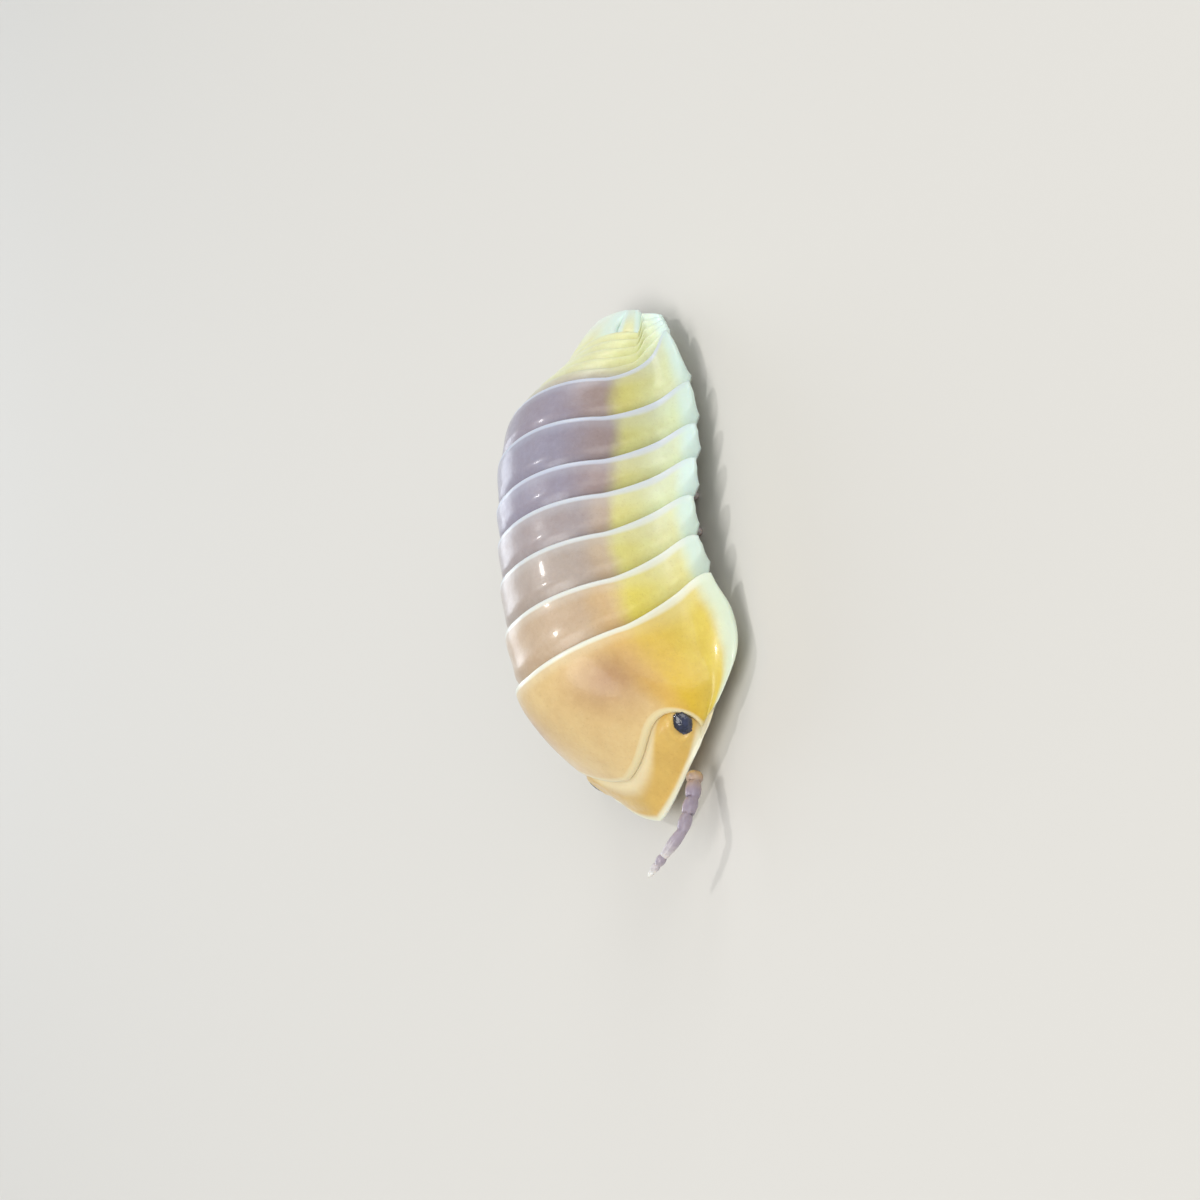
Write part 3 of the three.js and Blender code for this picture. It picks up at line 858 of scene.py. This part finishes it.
def walking_leg(side, n):
    """Leg n of a side, from the hip to a flat foot on the floor, with short bristles below."""
    s = LEG_AT[n - 1]
    narrow = min(section(s)[2] / 4.2, 1)
    hip = leaning(s, side * HIP_X * narrow, BELLY - TRUNK["rib"] - GAP + 0.12)
    splay = (n - 4) * 0.16 + 0.1
    knee, shin, ankle, foot = [Vector((side * x * narrow, hip.y + splay * share, z))
                               for x, share, z in LEG_POINTS.values()]
    wrist = knee.lerp(shin, 0.5) + Vector((0, 0, 0.03))
    toe = ankle.lerp(foot, 0.62)
    leg = tube_form(Form(), [hip, knee, wrist, shin, ankle, toe, foot], LEG_RADII)
    for m, (a, b) in enumerate(((knee, shin), (shin, ankle), (ankle, toe))):
        for q in range(BRISTLES):
            root = a.lerp(b, 0.25 + 0.2 * q) + Vector((0, 0, -0.15 + 0.02 * m))
            tip = root + Vector((side * 0.06, 0.03 * (q % 2), -0.11))
            tube_form(leg, [root, tip], [0.028, 0.012], sides=5, per=1, swell=0.0)
    return leg


for side, word in ((1, "left"), (-1, "right")):
    for n in range(1, 8):
        walking_leg(side, n).build(f"walking_leg_{word}_{n}", LIMB_MATERIAL, [f"leg_{word}_{n}"], "limb")

FEELERS = {             # root, elbow, wrist, bend and tip
    "left": [
        (1.98, -7.1, 0.72), (2.06, -7.9, 0.95), (2.05, -8.9, 1.4), (1.4, -9.45, 1.7), (0.7, -9.85, 1.85),
    ],
    "right": [
        (-1.75, -6.75, 0.62), (-2.35, -6.4, 0.38), (-2.95, -5.8, 0.34), (-3.25, -5.1, 0.34),
        (-3.3, -4.6, 0.34),
    ],
}
LASH_START, LASH_STEP = 4.2, 0.45       # how the colours of the shaft run on along its tip
for word, route in FEELERS.items():
    root, elbow, wrist, bend, tip = [Vector(p) for p in route]
    shaft = tube_form(Form(), [root, root.lerp(elbow, 0.35), elbow, elbow.lerp(wrist, 0.5), wrist, bend],
                      [0.24, 0.22, 0.21, 0.19, 0.17, 0.14], sides=18, per=8, swell=0.1)
    shaft.build(f"feeler_{word}", ANTENNA_MATERIAL, [f"antenna_{word}"], "limb")
    lash = Form()
    tube_form(lash, [bend, bend.lerp(tip, 0.4), bend.lerp(tip, 0.75), tip], [0.13, 0.12, 0.09, 0.04],
              sides=16, per=6)
    for index, article in lash.values["article"].items():
        lash.values["article"][index] = LASH_START + article * LASH_STEP
    lash.build(f"feeler_tip_{word}", ANTENNA_MATERIAL, [f"antenna_tip_{word}"], "limb")


# Floor, light and camera

FLOOR = 1.5             # half the side of the floor, in metres
FLOOR_COLOR = "#d9d6d0"


def floor():
    mesh = bpy.data.meshes.new("floor")
    corners = [(x * FLOOR, y * FLOOR, 0) for x, y in ((-1, -1), (1, -1), (1, 1), (-1, 1))]
    mesh.from_pydata(corners, [], [(0, 1, 2, 3)])
    shader = Shader("floor", roughness=0.8, coat=0.0, flesh=0.0)
    shader.surface.inputs["Base Color"].default_value = color(FLOOR_COLOR)
    mesh.materials.append(shader.material)
    piece = bpy.data.objects.new("floor", mesh)
    bpy.context.scene.collection.objects.link(piece)


floor()

TARGET = Vector((1.5, 0, 2.5))
VIEW = {"azimuth": 28, "elevation": 27, "distance": 60, "field": 33.5, "roll": 8}
MIDDLE_PIXEL = (611, 550)       # where the target shows in the 1200 x 1200 photograph
FRAME_PIXELS = 1200

LIT_POINT = Vector((0, 0, 0.002))
LIGHTS = {              # place and size in metres, power in watts, tint
    "key": ((0.05, -0.16, 0.26), 0.2, 0.42, (1.0, 0.98, 0.95)),
    "fill": ((0.3, -0.02, 0.12), 0.24, 0.3, (1.0, 0.99, 0.96)),
    "rim": ((-0.24, 0.1, 0.1), 0.14, 0.16, (0.86, 0.92, 1.0)),
    "tail_glow": ((0.1, 0.26, 0.14), 0.16, 0.16, (1.0, 0.99, 0.96)),
    "glint": ((-0.035, 0.05, 0.26), 0.02, 0.12, (1.0, 0.99, 0.97)),
}
SKY_TINT, SKY_STRENGTH = (0.92, 0.96, 1.0, 1), 0.42


def area_light(name, place, size, power, tint):
    light = bpy.data.lights.new(name, "AREA")
    light.shape = "DISK"
    light.size = size
    light.energy = power
    light.color = tint
    lamp = bpy.data.objects.new(name, light)
    lamp.location = place
    lamp.rotation_euler = (LIT_POINT - Vector(place)).to_track_quat("-Z", "Y").to_euler()
    bpy.context.scene.collection.objects.link(lamp)


for name, look in LIGHTS.items():
    area_light(name, *look)

world = bpy.data.worlds.new("studio")
world.use_nodes = True
sky = world.node_tree.nodes["Background"]
sky.inputs["Color"].default_value = SKY_TINT
sky.inputs["Strength"].default_value = SKY_STRENGTH
bpy.context.scene.world = world


def camera():
    azimuth, elevation = math.radians(VIEW["azimuth"]), math.radians(VIEW["elevation"])
    roll = math.radians(VIEW["roll"])
    towards = Vector((math.cos(elevation) * math.cos(azimuth), -math.cos(elevation) * math.sin(azimuth),
                      math.sin(elevation)))
    head = Vector((-math.sin(azimuth), -math.cos(azimuth), 0))
    up = head.cross(towards)
    up = up if up.z > 0 else -up
    down = head * math.cos(roll) - up * math.sin(roll)
    right = -(head * math.sin(roll) + up * math.cos(roll))
    lens = bpy.data.cameras.new("camera")
    lens.sensor_width = 36
    lens.lens = lens.sensor_width / 2 / math.tan(math.radians(VIEW["field"] / 2))
    lens.clip_start = 0.001
    lens.shift_x = (FRAME_PIXELS / 2 - MIDDLE_PIXEL[0]) / FRAME_PIXELS
    lens.shift_y = (MIDDLE_PIXEL[1] - FRAME_PIXELS / 2) / FRAME_PIXELS
    eye = bpy.data.objects.new("camera", lens)
    basis = Matrix((right, -down, towards)).transposed().to_4x4()
    eye.matrix_world = Matrix.Translation((TARGET + SHIFT + towards * VIEW["distance"]) * MM) @ basis
    bpy.context.scene.collection.objects.link(eye)
    bpy.context.scene.camera = eye


camera()
bpy.context.scene.view_settings.view_transform = "Standard"
